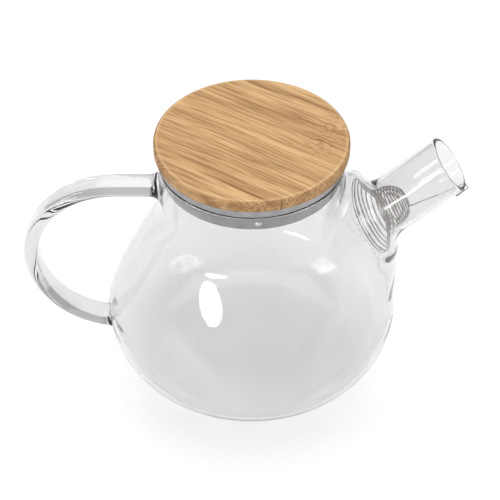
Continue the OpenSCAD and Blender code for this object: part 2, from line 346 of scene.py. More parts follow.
@dataclass(frozen=True)
class SteelFinish:
    """Stainless steel with fine turning lines.

    Args:
        name: Name of the material.
        colour: Colour of the steel.
        dull: Colour where it is a little stained.
        roughness: Least roughness.
        turned: Whether the lines run round the part's axis.
        line: Lines per metre.
        relief: Strength of the lines.
    """

    name: str
    colour: Colour = (0.62, 0.61, 0.60)
    dull: Colour = (0.50, 0.49, 0.48)
    roughness: float = 0.2
    turned: bool = True
    line: float = 5200
    relief: float = 0.10

    def build(self) -> bpy.types.Material:
        """Returns the material."""
        g = Graph(self.name)
        x, y, z = g.place()
        if self.turned:
            out = (x * x + y * y).apply("SQRT")
            where = g.vector(out * self.line, z * self.line, x * 9)
        else:
            where = g.vector(x * self.line, y * self.line, z * self.line)
        lines = g.noise(where, 1, 2)
        stain = g.noise(g.vector(x, y, z), 160, 4)
        shader = g.surface(
            {
                "Base Color": g.mix(stain.between(0.35, 0.75), self.colour, self.dull),
                "Metallic": 1.0,
                "Roughness": self.roughness + lines * 0.10 + stain * 0.05,
                "Normal": g.bump(lines, self.relief, 0.00002),
            }
        )
        return g.finish(shader)


@dataclass(frozen=True)
class SiliconeFinish:
    """Milky silicone with a faint mould texture.

    Args:
        colour: Colour of the rubber.
        dusty: Colour where dust clings to it.
    """

    colour: Colour = (0.42, 0.42, 0.41)
    dusty: Colour = (0.55, 0.55, 0.54)

    def build(self) -> bpy.types.Material:
        """Returns the material."""
        g = Graph("silicone")
        x, y, z = g.place()
        grain = g.noise(g.vector(x, y, z), 2400, 2)
        dust = g.noise(g.vector(x, y, z), 260, 4)
        shader = g.surface(
            {
                "Base Color": g.mix(dust.between(0.4, 0.75), self.colour, self.dusty),
                "Roughness": 0.42 + dust * 0.2,
                "Normal": g.bump(grain, 0.15, 0.00004),
            }
        )
        return g.finish(shader)


@dataclass(frozen=True)
class PaintFinish:
    """Plain matt paint for the studio floor.

    Args:
        colour: Colour of the paint.
    """

    colour: Colour = (0.90, 0.90, 0.90)

    def build(self) -> bpy.types.Material:
        """Returns the material."""
        g = Graph("studio_floor")
        x, y, z = g.place()
        mottle = g.noise(g.vector(x, y, z), 3, 2)
        low = tuple(c * 0.985 for c in self.colour)
        colour = g.mix(mottle, self.colour, low)
        return g.finish(
            g.surface({"Base Color": colour, "Roughness": 0.9, "Specular IOR Level": 0.1})
        )


# -------------------------------------------------------------- mesh building


def arc(centre: Sequence[float], radius: float, start: float, end: float, steps: int) -> list:
    """Returns points along an arc, with its angles in degrees."""
    turns = [math.radians(start + (end - start) * k / steps) for k in range(steps + 1)]
    return [
        (centre[0] + radius * math.cos(a), centre[1] + radius * math.sin(a)) for a in turns
    ]


def rounded(points: Sequence, radii: Sequence[float], steps: int = 4) -> list:
    """Rounds the corners of a closed outline.

    Args:
        points: Corners as pairs of numbers.
        radii: Radius of each corner, or 0 to keep it sharp.
        steps: Segments in each rounded corner.

    Returns:
        The points of the rounded outline.
    """
    made = []
    for i, (corner, radius) in enumerate(zip(points, radii)):
        p = Vector(corner)
        if radius <= 0:
            made.append(tuple(p))
            continue
        a = (Vector(points[i - 1]) - p).normalized()
        b = (Vector(points[(i + 1) % len(points)]) - p).normalized()
        half = a.angle(b) / 2
        centre = p + (a + b).normalized() * (radius / math.sin(half))
        first = p + a * (radius / math.tan(half)) - centre
        last = p + b * (radius / math.tan(half)) - centre
        for k in range(steps + 1):
            f = k / steps
            blend = first.normalized().slerp(last.normalized(), f)
            made.append(tuple(centre + blend * radius))
    return made


def rising_axis(rise: float) -> Vector:
    """Returns the direction that rises from +X by an angle in radians."""
    return Vector((math.cos(rise), 0, math.sin(rise)))


def low_side(rise: float) -> Vector:
    """Returns the direction to the lowest side of such an axis."""
    return Vector((math.sin(rise), 0, -math.cos(rise)))


def rising_frame(at: Sequence[float], rise: float) -> Matrix:
    """Returns the matrix that stands +Z on a rising axis and +X on its lowest side."""
    z, x = rising_axis(rise).normalized(), low_side(rise).normalized()
    turn = Matrix((x, z.cross(x), z)).transposed().to_4x4()
    return Matrix.Translation(Vector(at)) @ turn


def around(at: Sequence[float], rise: float, along: float, r: float, angle: float) -> Vector:
    """Returns a point about a rising axis, its angle counted from the lowest side to the front."""
    out = low_side(rise) * math.cos(angle) + Vector((0, -1, 0)) * math.sin(angle)
    return Vector(at) + rising_axis(rise) * along + out * r


def revolve(
    bm: bmesh.types.BMesh,
    outline: Sequence,
    steps: int = 96,
    matrix: Matrix | None = None,
    closed: bool = False,
) -> list:
    """Turns an outline of radius and height pairs about +Z.

    Args:
        bm: The mesh to add to.
        outline: The points of the half section.
        steps: Segments round the axis.
        matrix: Where the local frame stands.
        closed: Whether the outline ends where it began.

    Returns:
        The new vertices.
    """
    before = set(bm.verts)
    ring = [bm.verts.new((r, 0.0, z)) for r, z in outline]
    pairs = list(zip(ring, ring[1:])) + ([(ring[-1], ring[0])] if closed else [])
    edges = [bm.edges.new(pair) for pair in pairs]
    bmesh.ops.spin(
        bm,
        geom=ring + edges,
        cent=(0, 0, 0),
        axis=(0, 0, 1),
        angle=math.tau,
        steps=steps,
        use_merge=True,
    )
    made = [v for v in bm.verts if v not in before]
    bmesh.ops.remove_doubles(bm, verts=made, dist=1e-7)
    made = [v for v in bm.verts if v not in before]
    if matrix is not None:
        bmesh.ops.transform(bm, matrix=matrix, verts=made)
    return made


def to_mesh(bm: bmesh.types.BMesh, name: str) -> bpy.types.Mesh:
    """Writes a finished mesh with its faces outwards and smooth."""
    bmesh.ops.recalc_face_normals(bm, faces=bm.faces)
    for face in bm.faces:
        face.smooth = True
    mesh = bpy.data.meshes.new(name)
    bm.to_mesh(mesh)
    bm.free()
    return mesh


def add_object(name: str, data: bpy.types.ID | None) -> bpy.types.Object:
    """Returns a new object of the scene."""
    made = bpy.data.objects.new(name, data)
    bpy.context.scene.collection.objects.link(made)
    return made


def taken_from(holder: bpy.types.Object) -> bpy.types.Mesh:
    """Returns the finished mesh of an object with its modifiers, and removes the object."""
    bpy.context.view_layer.update()
    seen = holder.evaluated_get(bpy.context.evaluated_depsgraph_get())
    mesh = bpy.data.meshes.new_from_object(seen)
    bpy.data.objects.remove(holder)
    return mesh


def point_at(thing: bpy.types.Object, at: Sequence[float], aim: Sequence[float]) -> None:
    """Stands a lamp or camera at a place and turns it towards another."""
    thing.location = at
    way = Vector(aim) - Vector(at)
    thing.rotation_euler = way.to_track_quat("-Z", "Y").to_euler()


def put(
    mesh: bpy.types.Mesh, material: bpy.types.Material, body: str, slot: Slot, *nodes: str
) -> None:
    """Adds a piece to the scene.

    Args:
        mesh: Its mesh, in the frame of the part.
        material: Its material.
        body: The body it rides on.
        slot: The material slot it stands for; not used.
        nodes: The CAD nodes that it stands for.
    """
    mesh.materials.append(material)
    piece = add_object(mesh.name, mesh)
    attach(piece, body)
    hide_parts(*nodes)
    LOG.info("%s: %d vertices", piece.name, len(mesh.vertices))


def wire_mesh(name: str, points: Sequence, radius: float, sides: int = 10) -> bpy.types.Mesh:
    """Returns round wire along a list of points, closed at both ends."""
    curve = bpy.data.curves.new(name, "CURVE")
    curve.dimensions = "3D"
    curve.bevel_depth = radius
    curve.bevel_resolution = max(1, sides // 2 - 2)
    curve.use_fill_caps = True
    spline = curve.splines.new("POLY")
    spline.points.add(len(points) - 1)
    for knot, point in zip(spline.points, points):
        knot.co = (*point, 1.0)
    made = taken_from(add_object(name + "_path", curve))
    bm = bmesh.new()
    bm.from_mesh(made)
    bpy.data.meshes.remove(made)
    bmesh.ops.remove_doubles(bm, verts=bm.verts, dist=1e-7)
    return to_mesh(bm, name)


# ------------------------------------------------------------- distance fields


def soft_union(a: np.ndarray, b: np.ndarray, reach: float) -> np.ndarray:
    """Returns the union of two distances, melted together over a reach."""
    h = np.maximum(reach - np.abs(a - b), 0) / reach
    return np.minimum(a, b) - h * h * reach / 4


class RevolvedField:
    """Signed distance to a solid of revolution, read from a grid of its half section.

    Args:
        outline: Radius and height pairs of the skin, from the axis outwards.
        origin: A point on the axis.
        axis: Direction of the axis.
        heights: Lowest and highest height of the grid.
        reach: Largest radius of the grid.
        step: Size of a cell of the grid.
    """

    def __init__(
        self,
        outline: Sequence,
        origin: Sequence[float] = (0, 0, 0),
        axis: Sequence[float] = (0, 0, 1),
        heights: tuple[float, float] = (-0.02, 0.15),
        reach: float = 0.125,
        step: float = 0.0005,
    ) -> None:
        self.origin, self.axis = np.array(origin, float), np.array(axis, float)
        self.low, self.step = heights[0], step
        self.across = np.arange(0, reach + step, step)
        self.up = np.arange(heights[0], heights[1] + step, step)
        r, z = np.meshgrid(self.across, self.up, indexing="ij")
        skin = np.array(outline, float)
        closing = np.vstack([skin, [[0.0, skin[-1][1]]]])
        best = np.full(r.shape, 1e9)
        inside = np.zeros(r.shape, bool)
        for i in range(len(closing)):
            a, b = closing[i - 1], closing[i]
            crosses = (a[1] > z) != (b[1] > z)
            if abs(b[1] - a[1]) > 1e-12:
                at = a[0] + (z - a[1]) * (b[0] - a[0]) / (b[1] - a[1])
                inside ^= crosses & (r < at)
        for a, b in zip(skin[:-1], skin[1:]):
            run = b - a
            t = np.clip(((r - a[0]) * run[0] + (z - a[1]) * run[1]) / (run @ run), 0, 1)
            best = np.minimum(best, np.hypot(r - a[0] - t * run[0], z - a[1] - t * run[1]))
        self.values = np.where(inside, -best, best)

    def __call__(self, points: np.ndarray) -> np.ndarray:
        """Returns the signed distance at each point."""
        away = points - self.origin
        up = away @ self.axis
        out = np.sqrt(np.maximum((away**2).sum(1) - up**2, 0))
        i = np.clip(out / self.step, 0, len(self.across) - 1.001)
        j = np.clip((up - self.low) / self.step, 0, len(self.up) - 1.001)
        i0, j0 = i.astype(int), j.astype(int)
        fi, fj = i - i0, j - j0
        v = self.values
        low = v[i0, j0] * (1 - fi) + v[i0 + 1, j0] * fi
        high = v[i0, j0 + 1] * (1 - fi) + v[i0 + 1, j0 + 1] * fi
        return low * (1 - fj) + high * fj


def slope(field: Field, points: np.ndarray, reach: float = 0.0003) -> np.ndarray:
    """Returns the gradient of a field at each point."""
    total = np.zeros_like(points)
    for k in ((1, 1, 1), (1, -1, -1), (-1, 1, -1), (-1, -1, 1)):
        way = np.array(k, float)
        total += field(points + way * reach)[:, None] * way
    return total / (4 * reach)


def settle(points: np.ndarray, edges: np.ndarray, field: Field, passes: int) -> np.ndarray:
    """Moves the vertices of a mesh on to the zero of a field and evens them out along it.

    Args:
        points: Places of the vertices.
        edges: Pairs of vertex numbers.
        field: The field.
        passes: How many times to do both.

    Returns:
        The new places.
    """
    least_slope, longest_step, ease = 0.2, 0.002, 0.6
    heads, tails = edges[:, 0], edges[:, 1]
    count = np.bincount(edges.ravel(), minlength=len(points))[:, None]
    for turn in range(passes):
        for _ in range(2):
            g = slope(field, points)
            size = np.maximum((g**2).sum(1), least_slope)
            step = -(field(points) / size)[:, None] * g
            far = np.linalg.norm(step, axis=1, keepdims=True)
            points = points + step * np.minimum(1, longest_step / np.maximum(far, 1e-12))
        if turn == passes - 1:
            break
        mean = np.zeros_like(points)
        np.add.at(mean, heads, points[tails])
        np.add.at(mean, tails, points[heads])
        drift = ease * (mean / count - points)
        unit = g / np.linalg.norm(g, axis=1, keepdims=True)
        points = points + drift - (drift * unit).sum(1, keepdims=True) * unit
    return points


# ------------------------------------------------------------------- the glass


@dataclass
class GlassPot:
    """The blown body with its spout and strap handle, melted into one piece.

    Args:
        belly_r: Outer radius of the belly.
        belly_z: Height of the belly.
        shoulder_r: Radius of the curve from the belly into the shoulder.
        neck_r: Outer radius of the neck.
        neck_z: Height at which the line of the shoulder would meet the neck.
        neck_curve: Radius of the hollow curve under the neck.
        rim_z: Height of the lip.
        wall: Thickness of the glass.
        floor_t: Thickness of the floor.
        floor_fade: Height over which the floor thins out to the wall.
        lip_bead: How much the melted lip stands out from the wall on each side.
        tube_r: Outer radius of the spout.
        tube_at: A point on the axis of the spout.
        tube_rise: Slope of that axis, in radians.
        tube_len: Distance from the point to the mouth.
        mouth_rise: Slope at which the mouth faces up, in radians.
        cone_at: Tip of the cone that spreads from the spout.
        cone_rise: Slope of the axis of the cone, in radians.
        cone_half: Half angle of the cone, in radians.
        cone_len: Length of the cone.
        skirt_half: Half angle of the skirt behind the cone, in radians.
        skirt_len: Length of the skirt.
        apron_r: Radius of the swelling under the spout.
        apron_at: Centre of the swelling.
        strap_w: Width of the strap.
        strap_t: Thickness of the strap.
        arm_z: Height of the strap's straight arm.
        bend_r: Radius of the strap's bend.
        bend_x: How far out the bend's centre is.
        swell: How much the shoulder's slope changes each way from its mean, in degrees.
        boss_round: Radius that rounds the edges of the cone and skirt.
        boss_melt: Reach of the fillet round the cone and skirt.
        apron_melt: Reach of the fillet round the swelling.
        tube_melt: Reach of the fillet round the spout.
        strap_melt: Reach of the fillets at the ends of the strap.
        tube_back: How far behind its point the spout's tube begins.
        strap_end: Distance from the middle of the pot at which the strap stops.
        neck_cut: Height at which the melted skins end and the collar of the neck starts.
        tube_cut: The same along the spout.
        seam: Width of the ring that joins a skin to a collar.
        voxel: Edge of a cell when the solids are melted together.
    """

    belly_r: float = 0.0698
    belly_z: float = 0.0326
    shoulder_r: float = 0.012
    neck_r: float = 0.0424
    neck_z: float = 0.0929
    neck_curve: float = 0.025
    rim_z: float = 0.1222
    wall: float = 0.0018
    floor_t: float = 0.0025
    floor_fade: float = 0.015
    lip_bead: float = 0.00012
    tube_r: float = 0.0133
    tube_at: tuple = (0.0646, 0.0, 0.0933)
    tube_rise: float = math.radians(44)
    tube_len: float = 0.0350
    mouth_rise: float = math.radians(37)
    cone_at: tuple = (0.0667, 0.0, 0.0935)
    cone_rise: float = math.radians(32)
    cone_half: float = math.radians(62.8)
    cone_len: float = 0.0119
    skirt_half: float = math.radians(18)
    skirt_len: float = 0.025
    apron_r: float = 0.0315
    apron_at: tuple = (0.038, 0.0, 0.054)
    strap_w: float = 0.0125
    strap_t: float = 0.0063
    arm_z: float = 0.1047
    bend_r: float = 0.0427
    bend_x: float = 0.0622
    swell: float = 3.0
    boss_round: float = 0.004
    boss_melt: float = 0.006
    apron_melt: float = 0.007
    tube_melt: float = 0.005
    strap_melt: float = 0.005
    tube_back: float = 0.030
    strap_end: float = 0.02
    neck_cut: float = 0.1150
    tube_cut: float = 0.0100
    seam: float = 0.0012
    voxel: float = 0.0015

    def __post_init__(self) -> None:
        self.tube_dir = rising_axis(self.tube_rise)
        cone_dir = rising_axis(self.cone_rise)
        # The neck runs on past the lip, so that only the cuts end the skins.
        self.body = RevolvedField(self.outline() + [(self.neck_r, 0.2)])
        skin = self.boss_outline(self.boss_round)
        self.boss = RevolvedField(skin, self.cone_at, cone_dir, (-0.06, 0.03), 0.08)

    def outline(self) -> list:
        """Returns the outer half section of the body, up to the start of the straight neck."""
        bowl_x = self.belly_r - self.belly_z
        shoulder_x = self.belly_r - self.shoulder_r
        run = (self.neck_r - shoulder_x, self.neck_z - self.belly_z)
        lean = math.degrees(
            math.atan2(run[1], run[0]) - math.acos(self.shoulder_r / math.hypot(*run))
        )
        low = self.neck_z + self.neck_curve * math.tan(math.radians(lean / 2))
        hollow = (self.neck_r + self.neck_curve, low)
        start, end = lean - self.swell, lean + self.swell
        belly = arc((shoulder_x, self.belly_z), self.shoulder_r, start / 8, start, 8)
        neck = arc(hollow, self.neck_curve, 180 + end, 180, 12)
        # Between them the shoulder swells a little: it is tangent to both curves.
        a, b = Vector(belly[-1]), Vector(neck[0])
        rise_a = Vector((-math.sin(math.radians(start)), math.cos(math.radians(start))))
        rise_b = Vector((-math.sin(math.radians(end)), math.cos(math.radians(end))))
        run = b - a
        share = (run.x * rise_b.y - run.y * rise_b.x) / (rise_a.x * rise_b.y - rise_a.y * rise_b.x)
        peak = a + rise_a * share
        shoulder = [
            tuple(a.lerp(peak, k / 16).lerp(peak.lerp(b, k / 16), k / 16)) for k in range(1, 16)
        ]
        bowl = arc((bowl_x, self.belly_z), self.belly_z, -90, 0, 40)
        return [(0.0, 0.0)] + bowl + belly + shoulder + neck

    def boss_outline(self, inset: float) -> list:
        """Returns the half section of the cone and skirt behind the spout, drawn in a little."""
        ring = self.cone_len * math.tan(self.cone_half) - inset / math.cos(self.skirt_half)
        back = inset / math.sin(self.cone_half)
        end = -self.cone_len - self.skirt_len - back
        return [
            (0.0, -back),
            (ring, -back - ring / math.tan(self.cone_half)),
            (ring + self.skirt_len * math.tan(self.skirt_half), end),
        ]

    def shell(self, p: np.ndarray) -> np.ndarray:
        """Returns the distance to the outside of the body and spout."""
        boss = self.boss(p) - self.boss_round
        apron = np.linalg.norm(p - np.array(self.apron_at), axis=1) - self.apron_r
        away = p - np.array(self.tube_at)
        along = away @ np.array(self.tube_dir)
        tube = np.sqrt(np.maximum((away**2).sum(1) - along**2, 0)) - self.tube_r
        tube = np.maximum(tube, -self.tube_back - along)
        d = soft_union(self.body(p), boss, self.boss_melt)
        d = soft_union(d, apron, self.apron_melt)
        return soft_union(d, tube, self.tube_melt)

    def handle(self, p: np.ndarray) -> np.ndarray:
        """Returns the distance to the strap."""
        x = p[:, 0] + self.bend_x
        z = p[:, 2] - (self.arm_z - self.bend_r)
        off = np.where(x > 0, np.abs(z), np.hypot(x, z)) - self.bend_r
        side = (self.strap_w - self.strap_t) / 2
        wide = np.maximum(np.abs(p[:, 1]) - side, 0)
        return np.maximum(np.hypot(off, wide) - self.strap_t / 2, p[:, 0] + self.strap_end)

    def outside(self, p: np.ndarray) -> np.ndarray:
        """Returns the distance to the outside of all the glass."""
        return soft_union(self.shell(p), self.handle(p), self.strap_melt)

    def inside(self, p: np.ndarray) -> np.ndarray:
        """Returns the distance to the inner surface."""
        fade = np.clip(1 - p[:, 2] / self.floor_fade, 0, 1)
        return self.shell(p) + self.wall + (self.floor_t - self.wall) * fade

    def rough_solids(self, with_handle: bool) -> bpy.types.Mesh:
        """Returns overlapping solids that are melted together afterwards, past both cuts."""
        bm = bmesh.new()
        top, mouth, root = 0.128, 0.02, -self.tube_back
        revolve(bm, self.outline() + [(self.neck_r, top), (0.0, top)])
        sides = [(0.0, root), (self.tube_r, root), (self.tube_r, mouth), (0.0, mouth)]
        revolve(bm, sides, 48, rising_frame(self.tube_at, self.tube_rise))
        skin = self.boss_outline(0.001)
        skin.append((0.0, skin[-1][1]))
        revolve(bm, skin, 64, rising_frame(self.cone_at, self.cone_rise))
        bmesh.ops.create_icosphere(
            bm,
            subdivisions=4,
            radius=self.apron_r,
            matrix=Matrix.Translation(Vector(self.apron_at)),
        )
        if with_handle:
            self.add_strap(bm)
        bmesh.ops.recalc_face_normals(bm, faces=bm.faces)
        mesh = bpy.data.meshes.new("melt")
        bm.to_mesh(mesh)
        bm.free()
        return mesh

    def add_strap(self, bm: bmesh.types.BMesh) -> None:
        """Adds short overlapping blocks along the strap."""
        block, arm_step, arm_blocks, bend_step, bend_blocks = 0.007, 0.003, 14, 4, 46
        size = Matrix.Diagonal((block, self.strap_w, self.strap_t, 1))
        middle = self.arm_z - self.bend_r
        for k in range(arm_blocks):
            at = Matrix.Translation((-self.bend_x + arm_step * k, 0, self.arm_z))
            bmesh.ops.create_cube(bm, size=1, matrix=at @ size)
        for k in range(bend_blocks):
            turn = math.radians(bend_step * k)
            out = Vector((-math.sin(turn), 0, math.cos(turn))) * self.bend_r
            spin = Matrix.Rotation(-turn, 4, "Y")
            at = Matrix.Translation(Vector((-self.bend_x, 0, middle)) + out)
            bmesh.ops.create_cube(bm, size=1, matrix=at @ spin @ size)

    def melted(self, with_handle: bool, field: Field, passes: int) -> bpy.types.Mesh:
        """Melts the solids into one skin, settles it on a field and cuts it open."""
        holder = add_object("melt", self.rough_solids(with_handle))
        remesh = holder.modifiers.new("melt", "REMESH")
        remesh.mode = "VOXEL"
        remesh.voxel_size = self.voxel
        mesh = taken_from(holder)
        points = np.zeros(len(mesh.vertices) * 3)
        mesh.vertices.foreach_get("co", points)
        edges = np.zeros(len(mesh.edges) * 2, int)
        mesh.edges.foreach_get("vertices", edges)
        points = settle(points.reshape(-1, 3), edges.reshape(-1, 2), field, passes)
        mesh.vertices.foreach_set("co", points.ravel())
        bm = bmesh.new()
        bm.from_mesh(mesh)
        mouth = Vector(self.tube_at) + self.tube_dir * self.tube_cut
        cuts = ((mouth, self.tube_dir), (Vector((0, 0, self.neck_cut)), Vector((0, 0, 1))))
        for where, way in cuts:
            bmesh.ops.bisect_plane(
                bm,
                geom=bm.verts[:] + bm.edges[:] + bm.faces[:],
                dist=1e-5,
                plane_co=where,
                plane_no=way,
                clear_outer=True,
            )
        bm.to_mesh(mesh)
        bm.free()
        return mesh

    def collar(
        self,
        bm: bmesh.types.BMesh,
        matrix: Matrix,
        radius: float,
        low: float,
        top: float,
        tilt: float,
        steps: int,
    ) -> None:
        """Adds a straight collar with a melted lip, open at its lower end.

        Args:
            bm: The mesh to add to.
            matrix: Stands +Z on the axis of the collar.
            radius: Outer radius.
            low: Height at which it starts.
            top: Height of the lip.
            tilt: Slope of the lip towards +X.
            steps: Segments round the axis.
        """
        lip = self.wall / 2 + self.lip_bead
        inner = radius - self.wall
        foot, under = low + 0.0025, top - lip - 0.0012
        level, ramp = low + 0.002, 0.001
        skin = (
            [(radius, low), (radius, foot), (radius, under)]
            + arc((radius - self.wall / 2, top - lip), lip, 0, 180, 10)
            + [(inner, under), (inner, foot), (inner, low)]
        )
        made = revolve(bm, skin, steps)
        for v in made:
            share = min(1.0, max(0.0, (v.co.z - level) / ramp))
            v.co.z -= v.co.x * tilt * share
        bmesh.ops.transform(bm, matrix=matrix, verts=made)

    def build(self) -> bpy.types.Mesh:
        """Returns the closed mesh of the glass."""
        passes = 14
        bm = bmesh.new()
        side = bm.verts.layers.int.new("side")
        skins = ((True, self.outside), (False, self.inside))
        for number, (with_handle, field) in enumerate(skins, 1):
            skin = self.melted(with_handle, field, passes)
            known = len(bm.verts)
            bm.from_mesh(skin)
            bm.verts.ensure_lookup_table()
            for v in bm.verts[known:]:
                v[side] = number
            bpy.data.meshes.remove(skin)
        upright = Matrix.Identity(4)
        tube = rising_frame(self.tube_at, self.tube_rise)
        tilt = math.tan(self.tube_rise - self.mouth_rise)
        self.collar(bm, upright, self.neck_r, self.neck_cut + self.seam, self.rim_z, 0.0, 180)
        self.collar(bm, tube, self.tube_r, self.tube_cut + self.seam, self.tube_len, tilt, 96)
        self.join(bm, upright, self.neck_cut, self.neck_r - self.wall / 2)
        self.join(bm, tube.inverted(), self.tube_cut, self.tube_r - self.wall / 2)
        mesh = to_mesh(bm, "glass_pot")
        self.set_normals(mesh)
        return mesh

    def join(self, bm: bmesh.types.BMesh, back: Matrix, cut: float, mean: float) -> None:
        """Bridges the cut edges of both skins to the open edges of a collar.

        Args:
            bm: The mesh.
            back: Brings a point into the collar's own frame.
            cut: Height of the cut in that frame.
            mean: Radius of the middle of the wall.
        """
        near, room = 0.0002, 0.004
        for outer in (True, False):
            loop = []
            for edge in bm.edges:
                if not edge.is_boundary:
                    continue
                at = back @ ((edge.verts[0].co + edge.verts[1].co) / 2)
                out = math.hypot(at.x, at.y)
                beside = cut - near < at.z < cut + self.seam + near and out < mean + room
                if beside and (out > mean) == outer:
                    loop.append(edge)
            bmesh.ops.bridge_loops(bm, edges=loop)

    def set_normals(self, mesh: bpy.types.Mesh) -> None:
        """Gives the melted skins the exact normals of their fields."""
        count = len(mesh.vertices)
        points, normals = np.zeros(count * 3), np.zeros(count * 3)
        mesh.vertices.foreach_get("co", points)
        mesh.vertices.foreach_get("normal", normals)
        points, normals = points.reshape(-1, 3), normals.reshape(-1, 3)
        side = np.zeros(count, int)
        mesh.attributes["side"].data.foreach_get("value", side)
        for number, field, way in ((1, self.outside, 1.0), (2, self.inside, -1.0)):
            chosen = side == number
            g = slope(field, points[chosen]) * way
            normals[chosen] = g / np.linalg.norm(g, axis=1, keepdims=True)
        mesh.attributes.remove(mesh.attributes["side"])
        mesh.normals_split_custom_set_from_vertices(normals.tolist())

    def dress(self) -> None:
        """Builds the glass and adds it to the scene."""
        clear = GlassFinish().build()
        put(self.build(), clear, Body.POT.value, Slot.GLASS, "vessel", "spout", "handle")


# --------------------------------------------------------------------- the lid


@dataclass
class Lid:
    """The bamboo cover, the steel sleeve under it, its seal and the parts inside.

    Args:
        disc_r: Radius of the bamboo.
        disc_z: Height of its underside.
        disc_t: Its thickness.
        top_edge: Radius of its top edge.
        low_edge: Radius of its bottom edge.
        band_r: Outer radius of the steel band.
        band_z: Height of the underside of the band.
        sheet: Thickness of the steel.
        skirt_r: Outer radius of the skirt.
        skirt_z: Height of the skirt's lower edge.
        ledge_w: Width of the ledge inside.
        seal_z: Height of the underside of the seal.
        seal_t: Its thickness.
        seal_r: Its outer radius.
    """

    disc_r: float = 0.044
    disc_z: float = 0.1270
    disc_t: float = 0.0058
    top_edge: float = 0.0016
    low_edge: float = 0.0007
    band_r: float = 0.043
    band_z: float = 0.1232
    sheet: float = 0.0006
    skirt_r: float = 0.0399
    skirt_z: float = 0.1144
    ledge_w: float = 0.009
    seal_z: float = 0.12225
    seal_t: float = 0.0009
    seal_r: float = 0.042

    def bamboo(self) -> bpy.types.Mesh:
        """Returns the bamboo disc."""
        low, top = self.disc_z, self.disc_z + self.disc_t
        corners = [(0.0, low), (self.disc_r, low), (self.disc_r, top), (0.0, top)]
        radii = (0, self.low_edge, self.top_edge, 0)
        bm = bmesh.new()
        revolve(bm, rounded(corners, radii, 6), 128)
        return to_mesh(bm, "bamboo_cover")

    def sleeve(self) -> bpy.types.Mesh:
        """Returns the steel sleeve as one folded sheet."""
        inner, t = self.skirt_r - self.sheet, self.sheet
        low, top = self.band_z, self.disc_z - 0.00002
        cut, fold, brim = 0.0002, 0.0003, 0.0005
        rows = [
            (inner, self.skirt_z, cut),
            (self.skirt_r, self.skirt_z, cut),
            (self.skirt_r, low, fold),
            (self.band_r, low, brim),
            (self.band_r, top, cut),
            (self.band_r - t, top, cut),
            (self.band_r - t, low + t, cut),
            (self.skirt_r, low + t, cut),
            (self.skirt_r, top, fold),
            (inner - self.ledge_w, top, cut),
            (inner - self.ledge_w, top - t, cut),
            (inner, top - t, cut),
        ]
        outline = rounded([row[:2] for row in rows], [row[2] for row in rows], 3)
        bm = bmesh.new()
        revolve(bm, outline, 160, closed=True)
        return to_mesh(bm, "steel_sleeve")

    def seal(self) -> bpy.types.Mesh:
        """Returns the seal ring."""
        inner, low, top = self.skirt_r + 0.0001, self.seal_z, self.seal_z + self.seal_t
        corners = [(inner, low), (self.seal_r, low), (self.seal_r, top), (inner, top)]
        bm = bmesh.new()
        revolve(bm, rounded(corners, [0.0002, 0.0003, 0.0003, 0.0002], 3), 128, closed=True)
        return to_mesh(bm, "seal_ring")

    def dress(self) -> None:
        """Builds the lid and adds it to the scene."""
        steel = SteelFinish("turned_steel", (0.37, 0.36, 0.365), (0.29, 0.28, 0.285), 0.26).build()
        screw = SteelFinish("screw_steel", (0.60, 0.60, 0.61), roughness=0.3, turned=False).build()
        lid = Body.LID.value
        put(self.bamboo(), BambooFinish().build(), lid, Slot.BAMBOO, "bamboo_disc")
        put(self.sleeve(), steel, lid, Slot.SLEEVE, "lid_sleeve")
        put(self.seal(), SiliconeFinish().build(), Body.SEAL.value, Slot.SILICONE, "lid_seal")
        kept = {
            "lid_base_plate": (steel, Slot.SLEEVE),
            "lid_screws": (screw, Slot.SCREW),
            "detent_housings": (screw, Slot.SCREW),
        }
        for name, (material, slot) in kept.items():
            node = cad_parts[name]
            node.data.materials.clear()
            node.data.materials.append(material)


@dataclass
class Detents:
    """The three sprung balls in the skirt of the lid.

    Args:
        ball_r: Radius of a ball.
        ball_x: Distance of its centre from the axis.
        ball_z: Height of its centre.
        first: Direction of the first ball, in degrees.
        coil_r: Mean radius of a spring.
        coil_wire: Radius of its wire.
        coil_turns: Number of its turns.
        coil_from: Where the spring starts.
        coil_to: Where it ends.
        steps: Points in each turn of a spring.
    """

    ball_r: float = 0.002
    ball_x: float = 0.0385
    ball_z: float = 0.1176
    first: float = -86
    coil_r: float = 0.00145
    coil_wire: float = 0.00015
    coil_turns: int = 5
    coil_from: float = 0.0320
    coil_to: float = 0.036923
    steps: int = 28

    def coil(self, turn: Matrix) -> list:
        """Returns the points of a spring in the direction that a matrix turns +X to."""
        count = self.steps * self.coil_turns
        points = []
        for k in range(count + 1):
            a = math.tau * k * self.coil_turns / count
            along = self.coil_from + (self.coil_to - self.coil_from) * k / count
            out = (along, self.coil_r * math.cos(a), self.ball_z + self.coil_r * math.sin(a))
            points.append(turn @ Vector(out))
        return points

    def dress(self) -> None:
        """Builds the balls and springs and adds them to the scene."""
        polished = SteelFinish(
            "ball_steel", (0.80, 0.80, 0.81), (0.72, 0.72, 0.73), 0.05, False, 900, 0.03
        ).build()
        drawn = SteelFinish("coil_steel", roughness=0.2, turned=False, line=2600).build()
        for number, name in enumerate(("front", "right", "left")):
            turn = Matrix.Rotation(math.radians(self.first + 120 * number), 4, "Z")
            at = turn @ Vector((self.ball_x, 0, self.ball_z))
            bm = bmesh.new()
            bmesh.ops.create_icosphere(
                bm, subdivisions=4, radius=self.ball_r, matrix=Matrix.Translation(at)
            )
            ball = to_mesh(bm, f"detent_ball_{name}_polished")
            put(ball, polished, f"ball_{name}", Slot.BALL, f"detent_ball_{name}")
            coil = wire_mesh(f"detent_coil_{name}", self.coil(turn), self.coil_wire, 8)
            put(coil, drawn, Body.LID.value, Slot.WIRE, f"detent_spring_{name}")


# ---------------------------------------------------------------- the strainer


